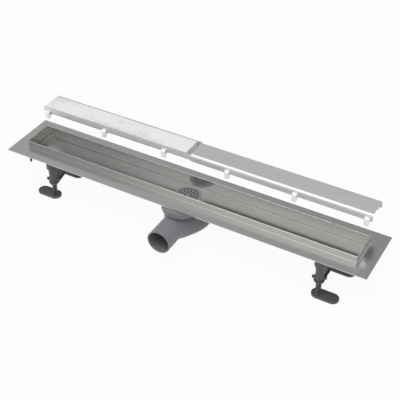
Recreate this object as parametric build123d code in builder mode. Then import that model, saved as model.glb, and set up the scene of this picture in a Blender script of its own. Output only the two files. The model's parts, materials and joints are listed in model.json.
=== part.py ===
from build123d import *
import os
from math import cos, pi, sin

# Linear shower drain: a steel channel on four adjustable feet, an odour trap with a side
# outlet, and a reversible cover lifted out behind it, one half tile side up.
# Millimetres, +Z up. X runs along the channel, the outlet points to -Y, and Z = 0 is the
# floor under the feet, straight below the drain hole.

# Channel: folded sheet with a standing rim, in a welded collar flange
FLANGE_LENGTH = 810.0
FLANGE_WIDTH = 130.0
FLANGE_HEIGHT = 102.0
SHEET = 1.5
TROUGH_LENGTH = 749.0
TROUGH_WIDTH = 67.0
TROUGH_DEPTH = 26.0
RIM_RISE = 14.3
BEND_R = 1.5
FLOOR_BEND_R = 1.4
RIM_EDGE_R = 0.7
FLANGE_CORNER_R = 1.0
WELD_BEAD = 1.2
WELD_GAP = 0.1

# Drain hole, and the ring that clamps the trap to the trough floor
CLAMP_TUBE_R = 25.9
CLAMP_TUBE_LENGTH = 14.0
CLAMP_WALL = 2.3
CLAMP_FLANGE_R = 28.5
CLAMP_FLANGE_T = 1.2
CLAMP_LIP = 2.1
CLAMP_LIP_T = 1.5
CLAMP_SEAT = 1.4
FIT_GAP = 0.3

# Strainer grid: a round plate, perforated in rings
STRAINER_T = 2.0
STRAINER_RIM = 2.4
STRAINER_HOLE_R = 2.4
STRAINER_RING_COUNT = 3
STRAINER_RING_HOLES = 6

# Odour cup, its seal and the bell that dips into it
CUP_RIM_T = 2.0
CUP_WALL = 1.5
CUP_DEPTH = 45.0
CUP_SEAL_T = 1.5
STANDPIPE_R = 8.5
STANDPIPE_HEIGHT = 28.0
BELL_R = 14.5
BELL_WALL = 1.5
BELL_DIP_GAP = 4.0
BELL_HEADROOM = 7.0
BELL_STEM_R = 3.0

# Trap: a bowl that flares into the outlet pipe, under an oblong head, all welded together
TRAP_WALL = 2.0
GASKET_T = 2.0
GASKET_WIDTH = 5.0
BOWL_R = 49.3
BOWL_HEIGHT = 56.7
BOWL_DROP = 18.1
PIPE_R = 25.0
PIPE_DROP = 34.6
PIPE_END = 115.0
FLARE_LENGTH = 67.0
FLARE_SECTIONS = 4
UNDERSIDE_RISE = 4
CHAMBER_R = 37.5
CHAMBER_REACH = 30.6
CHAMBER_DEPTH = 14.4
CHAMBER_EDGE_R = 13.0
RISER_GAP = 1.0
RISER_EDGE_R = 8.0
NECK_R = 26.0
PASSAGE_R = 20.0
PASSAGE_REACH = 40.0
COLLAR_DEPTH = 9.0
COLLAR_WALL = 2.5

# Legs: bridge brackets with two sleeves each, and feet that slide in the sleeves
LEG_END_INSET = 65.5
LEG_SIDE_OUTSET = 8.5
BEAM_WIDTH = 24.0
BEAM_HEIGHT = 14.0
BEAM_WALL = 2.5
BEAM_EDGE = 1.0
SLEEVE_R = 8.2
SLEEVE_TOP_R = 8.8
SLEEVE_BOTTOM = 31.0
SLEEVE_NOSE_R = 7.0
SLEEVE_NOSE_HEIGHT = 5.0
SLEEVE_COLLAR_R = 10.4
SLEEVE_COLLAR_T = 3.0
SLEEVE_CAP_T = 3.0
GUSSET_T = 3.0
GUSSET_RUN = 33.0
GUSSET_TURN = 18.0
GUSSET_FOOT = 32.0
GUSSET_END = 51.0
GUSSET_FLANGE = 9.0
GUSSET_FLANGE_T = 2.5
LOCK_Z = 44.0
LOCK_TURN = 17.0
LOCK_BOSS_R = 4.0
LOCK_BOSS_REACH = 11.0
LOCK_SHANK_R = 2.0
LOCK_HEAD_R = 3.3
LOCK_HEAD_T = 3.0
LOCK_CLEARANCE = 0.15

# Weld studs under the trough floor, and the nuts that hold the brackets on them
STUD_R = 2.0
STUD_LENGTH = 9.0
STUD_OFFSET = 4.3
STUD_CLEARANCE = 0.25
NUT_R = 4.05
NUT_T = 3.2
NUT_CLEARANCE = 0.15

# Feet
SPINDLE_R = 5.5
SPINDLE_RIB_T = 3.2
SPINDLE_TOP = 70.0
SPINDLE_CLEARANCE = 0.3
SPINDLE_FOOT_HALF = 7.5
SPINDLE_FOOT_HEIGHT = 9.0
PAD_WIDTH = 26.0
PAD_REACH = 30.0
PAD_T = 5.0
PAD_EDGE = 0.9
PAD_RIM = 2.2
PAD_DISH = 0.9
PAD_BOSS_R = 8.0
PAD_HOLE_R = 2.25

# Earthing stud under the front flange, and its nut
EARTH_END_INSET = 53.0
EARTH_SIDE_INSET = 9.0
EARTH_STUD_R = 2.4
EARTH_STUD_LENGTH = 16.0
EARTH_STUD_TIP = 0.6
EARTH_NUT_R = 5.0
EARTH_NUT_T = 3.5
EARTH_CLEARANCE = 0.15

# Cover: one folded profile, used either way up, on plastic clips
COVER_END_GAP = 0.5
COVER_WIDTH = 49.0
COVER_SKIRT = 16.0
COVER_SHEET = 1.5
COVER_BEND_R = 5.0
COVER_SPLIT_X = -11.0
COVER_LIFT = 51.7
COVER_BACK = 54.5
CLIP_COUNT = 3
CLIP_END_INSET = 10.0
CLIP_WIDTH = 9.0
CLIP_DEPTH = 5.0
CLIP_REACH = 26.0
CLIP_START = 8.5
CLIP_HOOK = 5.0
CLIP_HOOK_T = 3.5
CLIP_FOOT_R = 2.0
TILE_GAP = 0.4
TILE_END_GAP = 0.6
TILE_BARE_STRIP = 11.0
TILE_SINK = 0.3
TILE_EDGE = 0.6

# Levels and sizes that follow from the driving dimensions
rim_top = FLANGE_HEIGHT + RIM_RISE
flange_under = FLANGE_HEIGHT - SHEET
floor_top = rim_top - TROUGH_DEPTH
floor_under = floor_top - SHEET
drain_hole_r = CLAMP_TUBE_R + FIT_GAP
clamp_top = floor_top + CLAMP_FLANGE_T
clamp_bottom = floor_top - CLAMP_TUBE_LENGTH
clamp_bore_r = CLAMP_TUBE_R - CLAMP_WALL
clamp_lip_r = clamp_bore_r - CLAMP_LIP
strainer_under = clamp_top - STRAINER_T
strainer_r = clamp_bore_r + CLAMP_SEAT - FIT_GAP
seal_under = clamp_bottom + CLAMP_LIP_T
cup_rim_under = seal_under + CUP_SEAL_T
cup_rim_r = clamp_bore_r - FIT_GAP
cup_r = clamp_lip_r - FIT_GAP
cup_under = cup_rim_under - CUP_DEPTH
cup_floor = cup_under + CUP_WALL
standpipe_top = cup_floor + STANDPIPE_HEIGHT
bell_under = cup_floor + BELL_DIP_GAP
bell_roof = standpipe_top + BELL_HEADROOM
trap_top = floor_under - GASKET_T
riser_top = flange_under - RISER_GAP
chamber_bottom = trap_top - CHAMBER_DEPTH
bowl_top = trap_top - BOWL_DROP
bowl_under = bowl_top - BOWL_HEIGHT
bowl_z = bowl_top - BOWL_HEIGHT / 2
pipe_z = trap_top - PIPE_DROP
leg_x = TROUGH_LENGTH / 2 - LEG_END_INSET
leg_y = TROUGH_WIDTH / 2 + LEG_SIDE_OUTSET
beam_top = floor_under
beam_bottom = beam_top - BEAM_HEIGHT
beam_roof = beam_top - BEAM_WALL
sleeve_bore_r = SPINDLE_R + SPINDLE_CLEARANCE
stud_xs = [side * leg_x + step * STUD_OFFSET for side in (-1, 1) for step in (-1, 1)]
earth_place = (EARTH_END_INSET - FLANGE_LENGTH / 2, EARTH_SIDE_INSET - FLANGE_WIDTH / 2)
cover_half_length = TROUGH_LENGTH / 2 - SHEET - COVER_END_GAP
cover_top = floor_top + CLIP_REACH + COVER_LIFT
clip_pitch = (cover_half_length - CLIP_END_INSET) / (CLIP_COUNT - 0.5)

os.makedirs("parts", exist_ok=True)


def finish(part, label):
    """Names a finished piece and writes its file."""
    part.label = label
    export_step(part, f"parts/{label}.step")


# Channel: trough with a standing rim and a drain hole
with BuildPart() as channel:
    with BuildSketch(Plane.XY.offset(floor_under)):
        RectangleRounded(TROUGH_LENGTH, TROUGH_WIDTH, BEND_R + SHEET)
    extrude(amount=rim_top - floor_under)
    fillet(channel.faces().sort_by(Axis.Z)[0].edges(), BEND_R + SHEET)
    with BuildSketch(Plane.XY.offset(floor_top)):
        RectangleRounded(TROUGH_LENGTH - 2 * SHEET, TROUGH_WIDTH - 2 * SHEET, BEND_R)
    extrude(amount=TROUGH_DEPTH, mode=Mode.SUBTRACT)
    trough_floor = channel.faces().filter_by_position(Axis.Z, floor_top, floor_top)
    fillet(trough_floor.edges(), FLOOR_BEND_R)
    fillet(channel.faces().sort_by(Axis.Z)[-1].edges(), RIM_EDGE_R)
    with BuildSketch(Plane.XY.offset(floor_under)):
        Circle(drain_hole_r)
    extrude(amount=SHEET, mode=Mode.SUBTRACT)
finish(channel.part, "channel")

# Collar flange: flat frame round the trough, with a weld bead along its inner edge
with BuildPart() as collar_flange:
    with BuildSketch(Plane.XY.offset(flange_under)):
        RectangleRounded(FLANGE_LENGTH, FLANGE_WIDTH, FLANGE_CORNER_R)
    extrude(amount=SHEET)
    with BuildSketch(Plane.XY.offset(FLANGE_HEIGHT)):
        trough_room = RectangleRounded(
            TROUGH_LENGTH + 2 * WELD_GAP, TROUGH_WIDTH + 2 * WELD_GAP, BEND_R + SHEET + WELD_GAP
        )
        offset(amount=WELD_BEAD)
    extrude(amount=WELD_BEAD, taper=45)
    with BuildSketch(Plane.XY.offset(flange_under)):
        add(trough_room)
    extrude(amount=SHEET + WELD_BEAD, mode=Mode.SUBTRACT)
finish(collar_flange.part, "collar_flange")

# Weld studs under the trough floor, for the leg brackets
with BuildPart() as weld_studs:
    with BuildSketch(Plane.XY.offset(floor_under)):
        with Locations([(x, 0) for x in stud_xs]):
            Circle(STUD_R)
    extrude(amount=-STUD_LENGTH)
finish(weld_studs.part, "weld_studs")

# Clamp ring: flange on the trough floor, seat for the strainer, lip that carries the cup
with BuildPart() as clamp_ring:
    with BuildSketch(Plane.XY.offset(clamp_bottom)):
        Circle(CLAMP_TUBE_R)
        Circle(clamp_bore_r, mode=Mode.SUBTRACT)
    extrude(amount=clamp_top - clamp_bottom)
    with BuildSketch(Plane.XY.offset(floor_top)):
        Circle(CLAMP_FLANGE_R)
        Circle(CLAMP_TUBE_R, mode=Mode.SUBTRACT)
    extrude(amount=CLAMP_FLANGE_T)
    with BuildSketch(Plane.XY.offset(clamp_bottom)):
        Circle(clamp_bore_r)
        Circle(clamp_lip_r, mode=Mode.SUBTRACT)
    extrude(amount=CLAMP_LIP_T)
    with BuildSketch(Plane.XY.offset(strainer_under)):
        Circle(clamp_bore_r + CLAMP_SEAT)
    extrude(amount=STRAINER_T, mode=Mode.SUBTRACT)
    flange_edge = clamp_ring.edges().filter_by_position(Axis.Z, clamp_top, clamp_top)
    chamfer(flange_edge.sort_by(SortBy.RADIUS)[-1], CLAMP_FLANGE_T / 2)
finish(clamp_ring.part, "clamp_ring")

# Strainer grid: solid in its middle, where the bell hangs, with more holes in every ring outwards
strainer_ring_step = (strainer_r - STRAINER_RIM - STRAINER_HOLE_R) / STRAINER_RING_COUNT
with BuildPart() as strainer_grid:
    with BuildSketch(Plane.XY.offset(strainer_under)):
        Circle(strainer_r)
        for ring in range(1, STRAINER_RING_COUNT + 1):
            with PolarLocations(ring * strainer_ring_step, ring * STRAINER_RING_HOLES):
                Circle(STRAINER_HOLE_R, mode=Mode.SUBTRACT)
    extrude(amount=STRAINER_T)
finish(strainer_grid.part, "strainer_grid")

# Cup seal: flat ring on the lip of the clamp ring
with BuildPart() as cup_seal:
    with BuildSketch(Plane.XY.offset(seal_under)):
        Circle(cup_rim_r)
        Circle(clamp_lip_r, mode=Mode.SUBTRACT)
    extrude(amount=CUP_SEAL_T)
finish(cup_seal.part, "cup_seal")

# Odour cup: hangs by its rim, and empties over the standpipe in its middle
with BuildPart() as odour_cup:
    with BuildSketch(Plane.XY.offset(cup_under)):
        Circle(cup_r)
    extrude(amount=cup_rim_under + CUP_RIM_T - cup_under)
    with BuildSketch(Plane.XY.offset(cup_rim_under)):
        Circle(cup_rim_r)
    extrude(amount=CUP_RIM_T)
    with BuildSketch(Plane.XY.offset(cup_floor)):
        Circle(cup_r - CUP_WALL)
        Circle(STANDPIPE_R, mode=Mode.SUBTRACT)
    extrude(amount=standpipe_top - cup_floor, mode=Mode.SUBTRACT)
    with BuildSketch(Plane.XY.offset(standpipe_top)):
        Circle(cup_r - CUP_WALL)
    extrude(amount=cup_rim_under + CUP_RIM_T - standpipe_top, mode=Mode.SUBTRACT)
    with BuildSketch(Plane.XY.offset(cup_under)):
        Circle(STANDPIPE_R - CUP_WALL)
    extrude(amount=standpipe_top - cup_under, mode=Mode.SUBTRACT)
finish(odour_cup.part, "odour_cup")

# Odour bell: hangs from the strainer's middle by its stem, over the standpipe
with BuildPart() as odour_bell:
    with BuildSketch(Plane.XY.offset(bell_under)):
        Circle(BELL_R)
    extrude(amount=bell_roof + BELL_WALL - bell_under)
    chamfer(odour_bell.edges().sort_by(Axis.Z)[-1], BELL_WALL)
    with BuildSketch(Plane.XY.offset(bell_under)):
        Circle(BELL_R - BELL_WALL)
    extrude(amount=bell_roof - bell_under, mode=Mode.SUBTRACT)
    with BuildSketch(Plane.XY.offset(bell_roof)):
        Circle(BELL_STEM_R)
    extrude(amount=strainer_under - bell_roof)
finish(odour_bell.part, "odour_bell")

# Trap gasket: flat seal between the trough floor and the trap
with BuildPart() as trap_gasket:
    with BuildSketch(Plane.XY.offset(trap_top)):
        Circle(drain_hole_r + GASKET_WIDTH)
        Circle(drain_hole_r, mode=Mode.SUBTRACT)
    extrude(amount=GASKET_T)
finish(trap_gasket.part, "trap_gasket")


def bowl_form(inset):
    """The bowl and its flare towards the outlet pipe, drawn in by inset."""
    with BuildPart() as form:
        # bowl behind the drain hole
        with BuildSketch(Plane.XZ):
            with Locations((0, bowl_z)):
                Ellipse(BOWL_R - inset, BOWL_HEIGHT / 2 - inset)
            with Locations((-BOWL_R, bowl_z)):
                Rectangle(2 * BOWL_R, 2 * BOWL_HEIGHT, mode=Mode.SUBTRACT)
        revolve(axis=Axis.Z, revolution_arc=180)
        # flare in front of it: its sides draw in evenly, its underside rises late
        for step in range(FLARE_SECTIONS + 1):
            share = step / FLARE_SECTIONS
            half_width = PIPE_R + (BOWL_R - PIPE_R) * (1 + cos(pi * share)) / 2
            under = bowl_under + (pipe_z - PIPE_R - bowl_under) * share**UNDERSIDE_RISE
            top = bowl_top + (pipe_z + PIPE_R - bowl_top) * share
            place = (0, -FLARE_LENGTH * share, (under + top) / 2)
            with BuildSketch(Plane(origin=place, x_dir=(1, 0, 0), z_dir=(0, -1, 0))):
                Ellipse(half_width - inset, (top - under) / 2 - inset)
        loft()
    return form.part


def neck_form(inset):
    """Inlet neck and outlet passage, from inside the bowl to inside the chamber."""
    with BuildPart() as form:
        with BuildSketch(Plane.XY.offset(bowl_z)):
            Circle(NECK_R - inset)
            with Locations((0, -PASSAGE_REACH)):
                Circle(PASSAGE_R - inset)
        extrude(amount=(chamber_bottom + trap_top) / 2 - bowl_z)
    return form.part


def chamber_form(inset):
    """Oblong chamber under the trough, which stands up in front of it, drawn in by inset.

    Its outside is rounded, and its inside has flat bevels there.
    """
    trough_front = -(TROUGH_WIDTH / 2 + RISER_GAP + inset)
    with BuildPart() as form:
        with BuildSketch(Plane.XY.offset(chamber_bottom + inset)):
            with Locations((0, -CHAMBER_REACH / 2)):
                SlotCenterToCenter(CHAMBER_REACH, 2 * (CHAMBER_R - inset), rotation=90)
        extrude(amount=riser_top - chamber_bottom - 2 * inset)
        bottom_edges = form.faces().sort_by(Axis.Z)[0].edges()
        top_edges = form.faces().sort_by(Axis.Z)[-1].edges()
        if inset > 0:
            chamfer(bottom_edges, CHAMBER_EDGE_R / 2)
            chamfer(top_edges, RISER_EDGE_R / 2)
        else:
            fillet(bottom_edges, CHAMBER_EDGE_R - inset)
            fillet(top_edges, RISER_EDGE_R - inset)
        with BuildSketch(Plane.XY.offset(trap_top - inset)):
            with Locations((0, trough_front + CHAMBER_R + CHAMBER_REACH)):
                Rectangle(4 * CHAMBER_R, 2 * (CHAMBER_R + CHAMBER_REACH))
        extrude(amount=riser_top - trap_top, mode=Mode.SUBTRACT)
    return form.part


bowl_outer = bowl_form(0)
bowl_inner = bowl_form(TRAP_WALL)
neck_outer = neck_form(0)
neck_inner = neck_form(TRAP_WALL)
chamber_outer = chamber_form(0)
chamber_inner = chamber_form(TRAP_WALL)
chamber_room = chamber_form(-WELD_GAP)

# Trap bowl: hollow, open to the outlet pipe and upwards into the head
with BuildPart() as trap_bowl:
    add(bowl_outer)
    add(neck_outer)
    add(bowl_inner, mode=Mode.SUBTRACT)
    add(neck_inner, mode=Mode.SUBTRACT)
    add(chamber_room, mode=Mode.SUBTRACT)
finish(trap_bowl.part, "trap_bowl")

# Outlet pipe, on the end of the flare
with BuildPart() as outlet_pipe:
    with BuildSketch(Plane.XZ.offset(FLARE_LENGTH)):
        with Locations((0, pipe_z)):
            Circle(PIPE_R)
            Circle(PIPE_R - TRAP_WALL, mode=Mode.SUBTRACT)
    extrude(amount=PIPE_END - FLARE_LENGTH)
finish(outlet_pipe.part, "outlet_pipe")

# Trap head: hollow chamber, with a collar for the clamp ring
with BuildPart() as trap_head:
    add(chamber_outer)
    add(chamber_inner, mode=Mode.SUBTRACT)
    add(neck_inner, mode=Mode.SUBTRACT)
    with BuildSketch(Plane.XY.offset(trap_top)):
        Circle(drain_hole_r + COLLAR_WALL)
    extrude(amount=-COLLAR_DEPTH)
    with BuildSketch(Plane.XY.offset(trap_top)):
        Circle(drain_hole_r)
    extrude(amount=-COLLAR_DEPTH, mode=Mode.SUBTRACT)
finish(trap_head.part, "trap_head")

# Half section of a sleeve: nose, collar and a body that widens up to the beam
collar_under = SLEEVE_BOTTOM + SLEEVE_NOSE_HEIGHT
collar_top = collar_under + SLEEVE_COLLAR_T
with BuildSketch() as sleeve_section:
    with BuildLine():
        Polyline(
            (0, SLEEVE_BOTTOM),
            (SLEEVE_NOSE_R, SLEEVE_BOTTOM),
            (SLEEVE_R, collar_under),
            (SLEEVE_COLLAR_R, collar_under),
            (SLEEVE_COLLAR_R, collar_top),
            (SLEEVE_R, collar_top),
            (SLEEVE_TOP_R, beam_bottom),
            (SLEEVE_TOP_R, beam_roof),
            (0, beam_roof),
            close=True,
        )
    make_face()


def lock_plane(x, y):
    """Plane across the lock screws of the sleeve at x, y, in which they point along Z."""
    turn = LOCK_TURN * pi / 180
    return Plane(origin=(x, y, LOCK_Z), z_dir=(cos(turn), sin(turn), 0))


def leg_bracket(side):
    """A bridge under the trough, with a sleeve for a foot at each end."""
    x = side * leg_x
    ends = (-leg_y, leg_y)
    gusset_turn = GUSSET_TURN * pi / 180
    with BuildPart() as bracket:
        # beam: an oblong tray, open downwards
        with BuildSketch(Plane.XY.offset(beam_bottom)):
            with Locations((x, 0)):
                SlotCenterToCenter(2 * leg_y, BEAM_WIDTH, rotation=90)
        extrude(amount=BEAM_HEIGHT)
        chamfer(bracket.faces().sort_by(Axis.Z)[-1].edges(), BEAM_EDGE)
        with BuildSketch(Plane.XY.offset(beam_bottom)):
            with Locations((x, 0)):
                SlotCenterToCenter(2 * leg_y, BEAM_WIDTH - 2 * BEAM_WALL, rotation=90)
        extrude(amount=BEAM_HEIGHT - BEAM_WALL, mode=Mode.SUBTRACT)
        for y in ends:
            inward = -1 if y > 0 else 1
            # sleeve
            with BuildSketch(Plane(origin=(x, y, 0), x_dir=(1, 0, 0), z_dir=(0, -1, 0))):
                add(sleeve_section.sketch)
            revolve(axis=Axis((x, y, 0), (0, 0, 1)))
            # gusset from the sleeve to the beam, with a flange along its lower edge
            along = (inward * sin(gusset_turn), inward * cos(gusset_turn), 0)
            upright = Plane(origin=(x, y, 0), x_dir=along, z_dir=(along[1], -along[0], 0))
            with BuildSketch(upright):
                with BuildLine():
                    Polyline(
                        (0, GUSSET_FOOT),
                        (SLEEVE_R, GUSSET_FOOT),
                        (GUSSET_RUN, GUSSET_END),
                        (GUSSET_RUN, beam_roof),
                        (0, beam_roof),
                        close=True,
                    )
                make_face()
            extrude(amount=GUSSET_T / 2, both=True)
            with BuildSketch(upright):
                with BuildLine():
                    Polyline(
                        (0, GUSSET_FOOT),
                        (SLEEVE_R, GUSSET_FOOT),
                        (GUSSET_RUN, GUSSET_END),
                        (GUSSET_RUN, GUSSET_END + GUSSET_FLANGE_T),
                        (SLEEVE_R, GUSSET_FOOT + GUSSET_FLANGE_T),
                        (0, GUSSET_FOOT + GUSSET_FLANGE_T),
                        close=True,
                    )
                make_face()
            extrude(amount=GUSSET_FLANGE / 2, both=True)
            # bosses for the lock screws
            with BuildSketch(lock_plane(x, y)):
                Circle(LOCK_BOSS_R)
            extrude(amount=LOCK_BOSS_REACH, both=True)
        # sleeve bores, lock screw holes and stud holes
        with BuildSketch(Plane.XY.offset(SLEEVE_BOTTOM)):
            with Locations([(x, y) for y in ends]):
                Circle(sleeve_bore_r)
        extrude(amount=beam_top - SLEEVE_CAP_T - SLEEVE_BOTTOM, mode=Mode.SUBTRACT)
        for y in ends:
            with BuildSketch(lock_plane(x, y)):
                Circle(LOCK_SHANK_R + LOCK_CLEARANCE)
            extrude(amount=LOCK_BOSS_REACH, both=True, mode=Mode.SUBTRACT)
        with BuildSketch(Plane.XY.offset(beam_roof)):
            with Locations((x - STUD_OFFSET, 0), (x + STUD_OFFSET, 0)):
                Circle(STUD_R + STUD_CLEARANCE)
        extrude(amount=BEAM_WALL, mode=Mode.SUBTRACT)
    return bracket.part


finish(leg_bracket(-1), "leg_bracket_left")
finish(leg_bracket(1), "leg_bracket_right")

# Bracket nuts on the weld studs
with BuildPart() as bracket_nuts:
    with BuildSketch(Plane.XY.offset(beam_roof)):
        with Locations([(x, 0) for x in stud_xs]):
            RegularPolygon(NUT_R, 6)
            Circle(STUD_R + NUT_CLEARANCE, mode=Mode.SUBTRACT)
    extrude(amount=-NUT_T)
finish(bracket_nuts.part, "bracket_nuts")

# Lock screws: two to a sleeve, from both sides, their tips just short of the spindle
with BuildPart() as lock_screws:
    for side in (-1, 1):
        for end in (-1, 1):
            across = lock_plane(side * leg_x, end * leg_y)
            for way in (-1, 1):
                with BuildSketch(across.offset(way * sleeve_bore_r)):
                    Circle(LOCK_SHANK_R)
                extrude(amount=way * (LOCK_BOSS_REACH - sleeve_bore_r))
                with BuildSketch(across.offset(way * LOCK_BOSS_REACH)):
                    Circle(LOCK_HEAD_R)
                extrude(amount=way * LOCK_HEAD_T)
finish(lock_screws.part, "lock_screws")


def foot(side, end):
    """Pad with a dished top and a fixing hole, and a cross-ribbed spindle at its inner end."""
    x = side * leg_x
    y = end * leg_y
    outer_x = x + side * PAD_REACH
    with BuildPart() as piece:
        with BuildSketch():
            with Locations(((x + outer_x) / 2, y)):
                SlotCenterToCenter(PAD_REACH, PAD_WIDTH)
        extrude(amount=PAD_T)
        chamfer(piece.faces().sort_by(Axis.Z)[-1].edges(), PAD_EDGE)
        with BuildSketch(Plane.XY.offset(PAD_T)):
            with Locations(((x + outer_x) / 2, y)):
                SlotCenterToCenter(PAD_REACH, PAD_WIDTH - 2 * PAD_RIM)
            with Locations((x, y)):
                Circle(PAD_BOSS_R, mode=Mode.SUBTRACT)
        extrude(amount=-PAD_DISH, mode=Mode.SUBTRACT)
        with BuildSketch():
            with Locations((outer_x, y)):
                Circle(PAD_HOLE_R)
        extrude(amount=PAD_T, mode=Mode.SUBTRACT)
        # spindle: a cross of two ribs, rounded to the sleeve's bore
        with BuildSketch(Plane.XY.offset(PAD_T)):
            with Locations((x, y)):
                Rectangle(2 * SPINDLE_R, SPINDLE_RIB_T)
                Rectangle(SPINDLE_RIB_T, 2 * SPINDLE_R)
                Circle(SPINDLE_R, mode=Mode.INTERSECT)
        extrude(amount=SPINDLE_TOP - PAD_T)
        # both ribs widen where they meet the pad
        for across in ((1, 0, 0), (0, 1, 0)):
            upright = Plane(origin=(x, y, PAD_T), x_dir=across, z_dir=(across[1], -across[0], 0))
            with BuildSketch(upright):
                with BuildLine():
                    Polyline(
                        (-SPINDLE_FOOT_HALF, 0),
                        (SPINDLE_FOOT_HALF, 0),
                        (SPINDLE_RIB_T / 2, SPINDLE_FOOT_HEIGHT),
                        (-SPINDLE_RIB_T / 2, SPINDLE_FOOT_HEIGHT),
                        close=True,
                    )
                make_face()
            extrude(amount=SPINDLE_RIB_T / 2, both=True)
    return piece.part


for end, depth_name in ((-1, "front"), (1, "back")):
    for side, side_name in ((-1, "left"), (1, "right")):
        finish(foot(side, end), f"foot_{depth_name}_{side_name}")

# Earthing stud, welded under the flange
with BuildPart() as earthing_stud:
    with BuildSketch(Plane.XY.offset(flange_under)):
        with Locations(earth_place):
            Circle(EARTH_STUD_R)
    extrude(amount=-EARTH_STUD_LENGTH)
    chamfer(earthing_stud.faces().sort_by(Axis.Z)[0].edges(), EARTH_STUD_TIP)
finish(earthing_stud.part, "earthing_stud")

# Earthing nut, run up against the flange
with BuildPart() as earthing_nut:
    with BuildSketch(Plane.XY.offset(flange_under)):
        with Locations(earth_place):
            RegularPolygon(EARTH_NUT_R, 6)
            Circle(EARTH_STUD_R + EARTH_CLEARANCE, mode=Mode.SUBTRACT)
    extrude(amount=-EARTH_NUT_T)
finish(earthing_nut.part, "earthing_nut")


def cover_profile(plate_up):
    """Section of the folded cover sheet, plate side up or turned over as a tray."""
    middle = (COVER_BACK, cover_top - COVER_SKIRT / 2)
    hollow_shift = -COVER_SHEET if plate_up else COVER_SHEET
    folded_row = -1 if plate_up else 0
    with BuildSketch(mode=Mode.PRIVATE) as hollow:
        with Locations((middle[0], middle[1] + hollow_shift)):
            Rectangle(COVER_WIDTH - 2 * COVER_SHEET, COVER_SKIRT)
        hollow_corners = hollow.vertices().group_by(Axis.Y)[folded_row]
        fillet(hollow_corners, COVER_BEND_R - COVER_SHEET)
    with BuildSketch(mode=Mode.PRIVATE) as outline:
        with Locations(middle):
            Rectangle(COVER_WIDTH, COVER_SKIRT)
        fillet(outline.vertices().group_by(Axis.Y)[folded_row], COVER_BEND_R)
        add(hollow.sketch, mode=Mode.SUBTRACT)
    return outline.sketch


plate_profile = cover_profile(True)
tray_profile = cover_profile(False)

# Right half of the cover: plain steel side up
with BuildPart() as cover_plate:
    with BuildSketch(Plane.YZ.offset(COVER_SPLIT_X)):
        add(plate_profile)
    extrude(amount=cover_half_length - COVER_SPLIT_X)
finish(cover_plate.part, "cover_plate")

# Left half of the cover: turned over, as a tray for a tile
with BuildPart() as cover_tray:
    with BuildSketch(Plane.YZ.offset(COVER_SPLIT_X)):
        add(tray_profile)
    extrude(amount=-cover_half_length - COVER_SPLIT_X)
finish(cover_tray.part, "cover_tray")

# Tile: lies on the tray, short of the split by a bare strip
tile_under = cover_top - COVER_SKIRT + COVER_SHEET
tile_left = -cover_half_length + TILE_END_GAP
tile_right = COVER_SPLIT_X - TILE_BARE_STRIP
tile_width = COVER_WIDTH - 2 * COVER_SHEET - 2 * TILE_GAP
with BuildPart() as tile_insert:
    with BuildSketch(Plane.YZ.offset(tile_left)):
        with BuildLine():
            half = tile_width / 2
            heel = COVER_BEND_R - COVER_SHEET
            Polyline(
                (COVER_BACK - half + heel, tile_under),
                (COVER_BACK - half, tile_under + heel),
                (COVER_BACK - half, cover_top - TILE_SINK),
                (COVER_BACK + half, cover_top - TILE_SINK),
                (COVER_BACK + half, tile_under + heel),
                (COVER_BACK + half - heel, tile_under),
                close=True,
            )
        make_face()
    extrude(amount=tile_right - tile_left)
    chamfer(tile_insert.faces().sort_by(Axis.Z)[-1].edges(), TILE_EDGE)
finish(tile_insert.part, "tile_insert")


def clip_profile(facing):
    """Section of a clip: outer leg down to the trough floor, and a hook under the skirt."""
    skirt_y = COVER_BACK + facing * COVER_WIDTH / 2
    outer_y = skirt_y + facing * CLIP_DEPTH
    hook_y = skirt_y - facing * CLIP_HOOK
    hook_top = cover_top - COVER_SKIRT
    foot_z = cover_top - CLIP_REACH
    with BuildSketch() as section:
        with BuildLine():
            Polyline(
                (skirt_y, cover_top - CLIP_START),
                (skirt_y + facing * CLIP_DEPTH / 2, cover_top - CLIP_START),
                (outer_y, cover_top - CLIP_START - CLIP_DEPTH / 2),
                (outer_y, foot_z),
                (skirt_y, foot_z),
                (skirt_y, hook_top - CLIP_HOOK_T),
                (hook_y, hook_top - CLIP_HOOK_T),
                (hook_y, hook_top),
                (skirt_y, hook_top),
                close=True,
            )
        make_face()
    return section.sketch


clip_sections = [clip_profile(-1), clip_profile(1)]


def clip_row(side):
    """The clips of one half of the cover, along both of its long sides."""
    with BuildPart() as row:
        for place in range(CLIP_COUNT):
            x = side * (place + 0.5) * clip_pitch
            for section in clip_sections:
                with BuildSketch(Plane.YZ.offset(x)):
                    add(section)
                extrude(amount=CLIP_WIDTH / 2, both=True)
        foot_corners = row.edges().filter_by(Axis.Y).group_by(Axis.Z)[0]
        fillet(foot_corners, CLIP_FOOT_R)
    return row.part


finish(clip_row(-1), "tray_clips")
finish(clip_row(1), "plate_clips")
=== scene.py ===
import json
import math

import bpy
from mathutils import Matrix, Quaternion, Vector

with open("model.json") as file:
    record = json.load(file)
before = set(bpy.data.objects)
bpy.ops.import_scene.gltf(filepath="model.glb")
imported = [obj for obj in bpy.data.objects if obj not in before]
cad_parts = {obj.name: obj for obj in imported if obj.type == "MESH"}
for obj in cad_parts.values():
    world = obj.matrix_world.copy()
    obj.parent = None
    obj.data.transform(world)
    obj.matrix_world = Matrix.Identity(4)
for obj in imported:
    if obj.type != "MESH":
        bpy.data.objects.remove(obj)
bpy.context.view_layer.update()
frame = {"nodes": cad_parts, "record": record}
nodes = frame["nodes"]

# Lengths are in metres, in the part's own frame, and colours are linear

# Camera: its place, the point it looks at, its roll in degrees and its lens in millimetres
CAMERA_AT = (0.7171, -1.2000, 1.1943)
CAMERA_LOOKS_AT = (0.0347, -0.0119, 0.1000)
CAMERA_ROLL = -0.28
CAMERA_LENS = 79.9
CAMERA_SENSOR = 36.0

# Sky: its level by height, from the horizon at 0 to straight above at 1
SKY_STOPS = ((0.0, 0.32), (0.66, 0.365), (1.0, 0.52))

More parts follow.
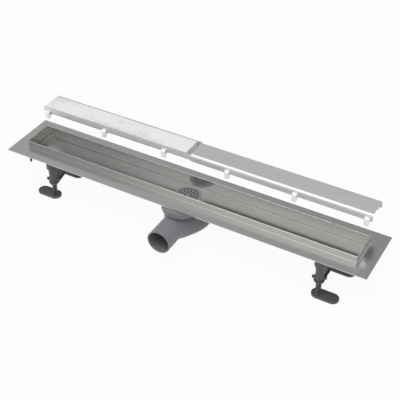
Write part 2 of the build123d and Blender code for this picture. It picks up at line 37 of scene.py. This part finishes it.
# Softboxes in the sky: direction, outer and inner edge as cosines, and level
SOFTBOXES = (
    ((0.25, 0.10, 0.96), 0.75, 0.97, 0.60),  # overhead
    ((-0.17, -0.73, 0.66), 0.935, 0.985, 0.46),  # high in front
    ((-0.30, -0.95, 0.10), 0.80, 1.00, 1.20),  # low in front
    ((-0.75, 0.50, 0.45), 0.80, 1.00, 0.15),  # at the back left
    ((0.43, -0.72, 0.66), 0.86, 0.98, 0.34),  # round the camera
)

# Key lamp: a strip high in front of the drain, with its power in watts
KEY_AT = (-0.05, -0.80, 2.05)
KEY_LOOKS_AT = (0.0, 0.0, 0.1)
KEY_SIZE = (2.2, 0.8)
KEY_POWER = 18.5

# Floor: a little below the feet, and white by this share where it is seen
FLOOR_SIZE = 80.0
FLOOR_DROP = 0.0004
FLOOR_COLOUR = (0.74, 0.74, 0.74)
FLOOR_ROUGHNESS = 0.9
FLOOR_WHITE = 0.945

# White backdrop above the horizon, which ends at the first height and is full at the second
BACKDROP_COLOUR = (0.98, 0.98, 0.98)
BACKDROP_EDGE = (0.242, 0.156)

# Noise fields: repeats per metre along each axis, detail and roughness
BRUSHED_ALONG = ((9.0, 2600.0, 2600.0), 3.0, 0.55)
BRUSHED_ACROSS = ((2600.0, 9.0, 2600.0), 3.0, 0.55)
STEEL_CLOUDS = ((5.0, 40.0, 40.0), 2.0, 0.5)
# The next field lays the trough floor's painted shade in cloudy patches
FLOOR_SHADE_CLOUDS = ((4.0, 14.0, 14.0), 3.0, 0.5)
PLASTIC_FLOW = ((18.0, 18.0, 30.0), 3.0, 0.5)
PLASTIC_GRAIN = ((900.0, 900.0, 900.0), 2.0, 0.5)
STONE_CLOUDS = ((9.0, 22.0, 22.0), 6.0, 0.65)
STONE_VEINS = ((7.0, 20.0, 20.0), 5.0, 0.6)
STONE_BREAKS = ((4.0, 9.0, 9.0), 2.0, 0.5)
STONE_PORES = ((600.0, 600.0, 600.0), 2.0, 0.5)

# Nearly all of a noise field lies between these values
FIELD_RANGE = (0.3, 0.7)

# Painted shade on steel, not the steel's own colour: the cover's under face, cloudy patches on the
# trough floor under the cover, and the crease of the bend round that floor
PAINTED_UNDER_SHADE = (0.33, 0.326, 0.320)
TROUGH_FLOOR_SHADE = (0.40, 0.396, 0.390)
BEND_SHADE = (0.05, 0.049, 0.047)

# Trough floor and its bend: the band of heights above the channel's lowest point
FLOOR_BAND = (0.0002, 0.0037)

# Parts of the surface's direction: X on an end wall, then Z in the bend, on the floor and underneath
END_WALL_X = (0.5, 0.8)
BEND_Z = (0.03, 0.99)
FLAT_Z = (0.97, 0.995)
UNDER_Z = (-0.3, -0.8)

# A band fades at each edge over this share of its width
BAND_FADE = 0.0625

# Strainer: darker than the ring that holds it, except for a rim of its own; the same colour also lays
# painted shade on the parts seen through its holes
STRAINER_TONE_AND_SHADE = (0.235, 0.239, 0.245)
STRAINER_RIM = 0.0021
STRAINER_FADE = 0.0003

# Relief: depth of the brush marks, and strength and depth of the plastic's grain and the stone's pores
BRUSH_DEPTH = 0.00002
GRAIN_STRENGTH = 0.2
GRAIN_DEPTH = 0.00006
PORE_STRENGTH = 0.1
PORE_DEPTH = 0.00004

# Stone of the tile: colours, the values of each field that show, and least and most roughness
STONE_DARK = (0.72, 0.712, 0.70)
STONE_LIGHT = (0.84, 0.836, 0.826)
STONE_VEIN = (0.62, 0.60, 0.57)
CLOUD_RANGE = (0.34, 0.52)
VEIN_RANGE = (0.475, 0.515)
BREAK_RANGE = (0.42, 0.58)
STONE_ROUGHNESS = (0.28, 0.40)

# Sockets of a mix node that share their names: its numbers, its colours and the mixed colour
MIX_NUMBERS = (2, 3)
MIX_COLOURS = (6, 7)
MIXED_COLOUR = 2

# Ends of a mask: not there, and there
BLACK = (0.0, 0.0, 0.0)
WHITE = (1.0, 1.0, 1.0)

# Places that follow from the frame
channel_under = min(corner[2] for corner in nodes["channel"].bound_box)
strainer_r = max(corner[0] for corner in nodes["strainer_grid"].bound_box)


def new_material(name):
    """A node material with a Principled shader; gives the material, its tree and the shader."""
    material = bpy.data.materials.new(name)
    material.use_nodes = True
    tree = material.node_tree
    return material, tree, tree.nodes["Principled BSDF"]


def object_coordinates(tree, scale):
    """The piece's own coordinates in metres, stretched by scale."""
    source = tree.nodes.new("ShaderNodeTexCoord")
    stretch = tree.nodes.new("ShaderNodeMapping")
    stretch.inputs["Scale"].default_value = scale
    tree.links.new(source.outputs["Object"], stretch.inputs["Vector"])
    return stretch.outputs["Vector"]


def axis_value(tree, output, axis):
    """One axis of the given texture coordinates, such as Object or Normal."""
    source = tree.nodes.new("ShaderNodeTexCoord")
    split = tree.nodes.new("ShaderNodeSeparateXYZ")
    tree.links.new(source.outputs[output], split.inputs["Vector"])
    return split.outputs[axis]


def noise(tree, scale, detail, roughness):
    """A noise field over the piece, with its own scale along each axis."""
    field = tree.nodes.new("ShaderNodeTexNoise")
    field.inputs["Scale"].default_value = 1.0
    field.inputs["Detail"].default_value = detail
    field.inputs["Roughness"].default_value = roughness
    tree.links.new(object_coordinates(tree, scale), field.inputs["Vector"])
    return field.outputs["Fac"]


def calculate(tree, operation, *values):
    """The result of a math operation on one or two values."""
    node = tree.nodes.new("ShaderNodeMath")
    node.operation = operation
    for socket, value in zip(node.inputs, values):
        tree.links.new(value, socket)
    return node.outputs["Value"]


def rescale(tree, value, start, end, low=0.0, high=1.0, interpolation="LINEAR"):
    """From low to high as the value goes from start to end; end may be the lower one."""
    node = tree.nodes.new("ShaderNodeMapRange")
    node.interpolation_type = interpolation
    node.inputs["From Min"].default_value = start
    node.inputs["From Max"].default_value = end
    node.inputs["To Min"].default_value = low
    node.inputs["To Max"].default_value = high
    tree.links.new(value, node.inputs["Value"])
    return node.outputs["Result"]


def ramp(tree, value, stops):
    """Colours by the value; each stop is a place from 0 to 1 and the colour there."""
    node = tree.nodes.new("ShaderNodeValToRGB")
    elements = node.color_ramp.elements
    for place, _ in stops[1:-1]:
        elements.new(place)
    for element, (place, colour) in zip(elements, stops):
        element.position = place
        element.color = (*colour, 1.0)
    tree.links.new(value, node.inputs["Fac"])
    return node.outputs["Color"]


def two_tones(tree, field, dark, light, limits=FIELD_RANGE):
    """From dark to light as the field goes from one limit to the other."""
    return ramp(tree, field, ((limits[0], dark), (limits[1], light)))


def between(tree, value, start, end):
    """1 where the value lies well between start and end, and 0 outside them."""
    fade = (end - start) * BAND_FADE
    return ramp(tree, value, ((start, BLACK), (start + fade, WHITE), (end - fade, WHITE), (end, BLACK)))


def blend(tree, share, first, second):
    """From the first colour, a socket, to the second one as the share goes from 0 to 1."""
    node = tree.nodes.new("ShaderNodeMix")
    node.data_type = "RGBA"
    first_in, second_in = MIX_COLOURS
    tree.links.new(share, node.inputs["Factor"])
    tree.links.new(first, node.inputs[first_in])
    node.inputs[second_in].default_value = (*second, 1.0)
    return node.outputs[MIXED_COLOUR]


def add_relief(tree, shader, field, strength, depth):
    """Relief of the given depth in metres on the shader."""
    node = tree.nodes.new("ShaderNodeBump")
    node.inputs["Strength"].default_value = strength
    node.inputs["Distance"].default_value = depth
    tree.links.new(field, node.inputs["Height"])
    tree.links.new(node.outputs["Normal"], shader.inputs["Normal"])


def brush_marks(tree):
    """Fine marks along the sheet, which run across it on the end walls."""
    turned = calculate(tree, "ABSOLUTE", axis_value(tree, "Normal", "X"))
    node = tree.nodes.new("ShaderNodeMix")
    tree.links.new(rescale(tree, turned, *END_WALL_X), node.inputs["Factor"])
    for socket, field in zip(MIX_NUMBERS, (BRUSHED_ALONG, BRUSHED_ACROSS)):
        tree.links.new(noise(tree, *field), node.inputs[socket])
    return node.outputs["Result"]


def trough_floor(tree):
    """The heights at which the trough floor and its bend lie."""
    start, end = FLOOR_BAND
    return between(tree, axis_value(tree, "Object", "Z"), channel_under + start, channel_under + end)


def bend_shade(tree):
    """Painted shade in the crease of the bend round the trough floor."""
    turning = between(tree, axis_value(tree, "Normal", "Z"), *BEND_Z)
    return calculate(tree, "MULTIPLY", trough_floor(tree), turning)


def trough_floor_shade(tree):
    """Painted shade on the trough floor under the cover, laid in cloudy patches."""
    flat = rescale(tree, axis_value(tree, "Normal", "Z"), *FLAT_Z)
    floor = calculate(tree, "MULTIPLY", trough_floor(tree), flat)
    return calculate(tree, "MULTIPLY", floor, noise(tree, *FLOOR_SHADE_CLOUDS))


def under_face_shade(tree):
    """Painted shade on the side of the cover sheet that looks down."""
    return rescale(tree, axis_value(tree, "Normal", "Z"), *UNDER_Z)


def strainer_middle(tree):
    """The strainer round the drain's axis, without its rim, and the parts below it within that radius,
    where the darker colour is painted shade.
    """
    away = tree.nodes.new("ShaderNodeVectorMath")
    away.operation = "LENGTH"
    tree.links.new(object_coordinates(tree, (1.0, 1.0, 0.0)), away.inputs[0])
    radius = strainer_r - STRAINER_RIM
    return rescale(tree, away.outputs["Value"], radius, radius - STRAINER_FADE)


def brushed_steel(name, dark, light, roughness, relief, painted_shades):
    """Stainless sheet, brushed lengthwise; each painted shade is where it lies and its colour."""
    material, tree, shader = new_material(name)
    streaks = brush_marks(tree)
    colour = two_tones(tree, noise(tree, *STEEL_CLOUDS), dark, light)
    for share, tint in painted_shades:
        colour = blend(tree, share(tree), colour, tint)
    shader.inputs["Metallic"].default_value = 1.0
    tree.links.new(colour, shader.inputs["Base Color"])
    tree.links.new(rescale(tree, streaks, *FIELD_RANGE, *roughness), shader.inputs["Roughness"])
    add_relief(tree, shader, streaks, relief, BRUSH_DEPTH)
    return material


def moulded_plastic(name, dark, light, roughness, strainer_tone_and_shade=None):
    """Moulded plastic with fine grain and faint flow marks; a strainer in it may have its own colour,
    partly the strainer's tone and partly painted shade on the parts seen through its holes.
    """
    material, tree, shader = new_material(name)
    grain = noise(tree, *PLASTIC_GRAIN)
    colour = two_tones(tree, noise(tree, *PLASTIC_FLOW), dark, light)
    if strainer_tone_and_shade:
        colour = blend(tree, strainer_middle(tree), colour, strainer_tone_and_shade)
    tree.links.new(colour, shader.inputs["Base Color"])
    tree.links.new(rescale(tree, grain, *FIELD_RANGE, *roughness), shader.inputs["Roughness"])
    add_relief(tree, shader, grain, GRAIN_STRENGTH, GRAIN_DEPTH)
    return material


def stone_tile(name):
    """Pale polished stone with faint grey clouds and thin broken veins."""
    material, tree, shader = new_material(name)
    clouds = two_tones(tree, noise(tree, *STONE_CLOUDS), STONE_DARK, STONE_LIGHT, CLOUD_RANGE)
    veins = between(tree, noise(tree, *STONE_VEINS), *VEIN_RANGE)
    whole = rescale(tree, noise(tree, *STONE_BREAKS), *BREAK_RANGE)
    colour = blend(tree, calculate(tree, "MULTIPLY", veins, whole), clouds, STONE_VEIN)
    pores = noise(tree, *STONE_PORES)
    tree.links.new(colour, shader.inputs["Base Color"])
    tree.links.new(rescale(tree, pores, *FIELD_RANGE, *STONE_ROUGHNESS), shader.inputs["Roughness"])
    add_relief(tree, shader, pores, PORE_STRENGTH, PORE_DEPTH)
    return material


# Steels by slot: darkest and lightest colour, least and most roughness, relief and painted shades
STEELS = {
    "channel_steel": (
        (0.620, 0.613, 0.600), (0.660, 0.654, 0.642), (0.17, 0.23), 0.03,
        # Painted shade: cloudy patches on the trough floor, and darker shade in the crease of the bend
        # round it
        ((trough_floor_shade, TROUGH_FLOOR_SHADE), (bend_shade, BEND_SHADE))
    ),
    "cover_steel": (
        (0.75, 0.75, 0.75), (0.79, 0.79, 0.79), (0.44, 0.52), 0.10,
        # The cover's under face is darkened here: painted shade
        ((under_face_shade, PAINTED_UNDER_SHADE),)
    ),
}

# Plastics by slot: darkest and lightest colour, least and most roughness, and for the drain plastic the
# strainer's colour, which is partly painted shade
PLASTICS = {
    "trap_plastic": ((0.196, 0.204, 0.218), (0.214, 0.223, 0.238), (0.42, 0.52)),
    "leg_plastic": ((0.080, 0.080, 0.081), (0.094, 0.094, 0.096), (0.40, 0.52)),
    "clip_plastic": ((0.93, 0.93, 0.93), (0.97, 0.97, 0.97), (0.25, 0.34)),
    "drain_plastic": ((0.25, 0.255, 0.26), (0.29, 0.295, 0.30), (0.35, 0.45), STRAINER_TONE_AND_SHADE),
    "seal_rubber": ((0.018, 0.018, 0.018), (0.028, 0.028, 0.028), (0.6, 0.75)),
    "dark_fasteners": ((0.040, 0.040, 0.040), (0.055, 0.055, 0.055), (0.32, 0.42)),
}

materials = {slot: brushed_steel(slot, *look) for slot, look in STEELS.items()}
materials |= {slot: moulded_plastic(slot, *look) for slot, look in PLASTICS.items()}
materials["tile"] = stone_tile("tile")
for part in frame["record"]["subparts"]:
    mesh = nodes[part["node"]].data
    mesh.materials.clear()
    mesh.materials.append(materials[part["material_slot"]])


def seen(tree):
    """1 on rays by which the camera, a mirror or a clear piece sees, and 0 on those that only light."""
    rays = tree.nodes.new("ShaderNodeLightPath")
    share = rays.outputs["Is Camera Ray"]
    for kind in ("Is Glossy Ray", "Is Transmission Ray"):
        share = calculate(tree, "MAXIMUM", share, rays.outputs[kind])
    return share


def floor_material():
    """Pale floor: white where the camera or a mirror sees it, with the object's shadow kept."""
    material, tree, shader = new_material("floor")
    shader.inputs["Base Color"].default_value = (*FLOOR_COLOUR, 1.0)
    shader.inputs["Roughness"].default_value = FLOOR_ROUGHNESS
    white = tree.nodes.new("ShaderNodeEmission")
    white.inputs["Strength"].default_value = 1.0
    mix = tree.nodes.new("ShaderNodeMixShader")
    share_in, plain_in, white_in = mix.inputs
    tree.links.new(rescale(tree, seen(tree), 0.0, 1.0, 0.0, FLOOR_WHITE), share_in)
    tree.links.new(shader.outputs["BSDF"], plain_in)
    tree.links.new(white.outputs["Emission"], white_in)
    tree.links.new(mix.outputs["Shader"], tree.nodes["Material Output"].inputs["Surface"])
    return material


def add_floor():
    half = FLOOR_SIZE / 2
    mesh = bpy.data.meshes.new("floor")
    corners = [(-half, -half), (half, -half), (half, half), (-half, half)]
    mesh.from_pydata([(x, y, -FLOOR_DROP) for x, y in corners], [], [(0, 1, 2, 3)])
    mesh.materials.append(floor_material())
    floor = bpy.data.objects.new("floor", mesh)
    bpy.context.scene.collection.objects.link(floor)


def with_softbox(tree, light, way, outer, inner, level):
    """The light with one softbox added to it, a smooth bright patch round its direction."""
    source = tree.nodes.new("ShaderNodeTexCoord")
    facing = tree.nodes.new("ShaderNodeVectorMath")
    facing.operation = "DOT_PRODUCT"
    facing.inputs[1].default_value = Vector(way).normalized()
    tree.links.new(source.outputs["Generated"], facing.inputs[0])
    patch = rescale(tree, facing.outputs["Value"], outer, inner, 0.0, level, "SMOOTHSTEP")
    together = tree.nodes.new("ShaderNodeVectorMath")
    together.operation = "ADD"
    tree.links.new(light, together.inputs[0])
    tree.links.new(patch, together.inputs[1])
    return together.outputs["Vector"]


def add_world():
    """Soft sky by height with the softboxes in it, and a white backdrop above the horizon."""
    world = bpy.data.worlds.new("studio")
    world.use_nodes = True
    tree = world.node_tree
    height = axis_value(tree, "Generated", "Z")
    light = ramp(tree, height, [(place, (level, level, level)) for place, level in SKY_STOPS])
    for softbox in SOFTBOXES:
        light = with_softbox(tree, light, *softbox)
    backdrop = calculate(tree, "MULTIPLY", seen(tree), rescale(tree, height, *BACKDROP_EDGE))
    light = blend(tree, backdrop, light, BACKDROP_COLOUR)
    tree.links.new(light, tree.nodes["Background"].inputs["Color"])
    bpy.context.scene.world = world


def add_looking(name, data, place, target, roll=0.0):
    """Adds a lamp or a camera that looks from its place to the target."""
    thing = bpy.data.objects.new(name, data)
    thing.location = place
    thing.rotation_mode = "QUATERNION"
    look = (Vector(target) - Vector(place)).to_track_quat("-Z", "Y")
    thing.rotation_quaternion = look @ Quaternion((0.0, 0.0, 1.0), math.radians(roll))
    bpy.context.scene.collection.objects.link(thing)
    return thing


def add_key():
    data = bpy.data.lights.new("key", "AREA")
    data.shape = "RECTANGLE"
    data.size, data.size_y = KEY_SIZE
    data.energy = KEY_POWER
    add_looking("key", data, KEY_AT, KEY_LOOKS_AT)


def add_camera():
    data = bpy.data.cameras.new("camera")
    data.lens = CAMERA_LENS
    data.sensor_width = CAMERA_SENSOR
    camera = add_looking("camera", data, CAMERA_AT, CAMERA_LOOKS_AT, CAMERA_ROLL)
    bpy.context.scene.camera = camera


add_floor()
add_world()
add_key()
add_camera()
bpy.context.scene.view_settings.view_transform = "Standard"
